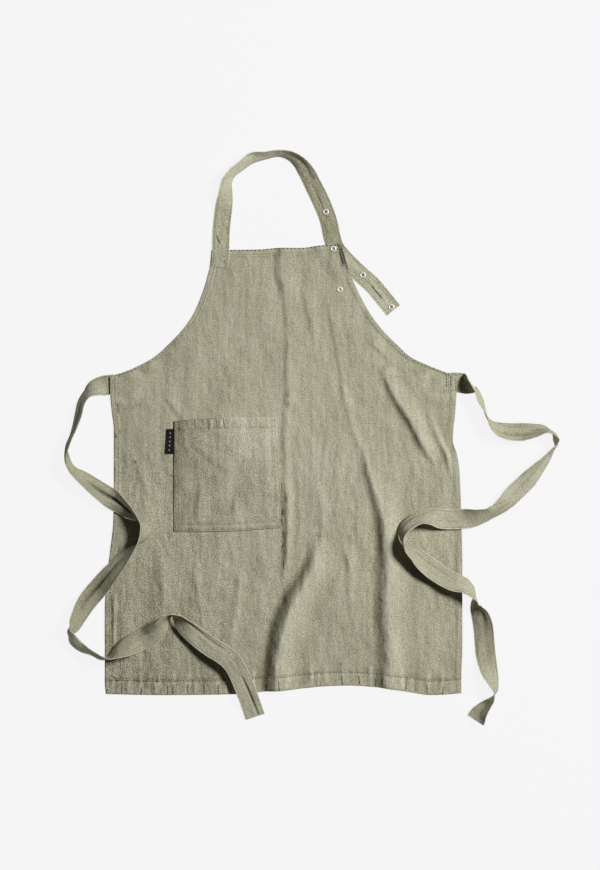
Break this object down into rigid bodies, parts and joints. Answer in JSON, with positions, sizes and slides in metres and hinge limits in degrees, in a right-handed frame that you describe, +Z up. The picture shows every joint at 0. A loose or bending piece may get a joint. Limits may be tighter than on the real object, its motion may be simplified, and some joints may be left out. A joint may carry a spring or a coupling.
{
  "type": "bib apron",
  "caption": "Linen bib apron laid flat, with a patch pocket, a neck strap adjusted by snap rings and waist ties lying in loose turns.",
  "frame": {"origin": "centre of the laid-out apron's footprint, on the surface it lies on", "axes": "+Y along the apron towards the neck strap, +X to the right as seen from above, +Z up out of the face-up cloth"},
  "size_m": [0.9813, 1.1457, 0.0535],
  "materials": {
    "linen_body": "washed plain-weave linen, sage grey green",
    "linen_pocket": "washed plain-weave linen, sage grey green",
    "linen_strap": "doubled and edge-stitched linen",
    "linen_tie": "doubled and edge-stitched linen",
    "label_black": "black woven ribbon, plain",
    "snap_metal": "pressed nickel-plated snap"
  },
  "bodies": {
    "root": {"apron_body": "linen_body", "pocket": "linen_pocket", "pocket_label": "label_black", "neck_strap": "linen_strap", "waist_tie_left": "linen_tie", "waist_tie_right": "linen_tie", "snap_strap_upper": "snap_metal", "snap_bib_corner": "snap_metal", "snap_bib_lower": "snap_metal", "snap_tail_middle": "snap_metal", "snap_tail_end": "snap_metal"}
  },
  "joints": []
}
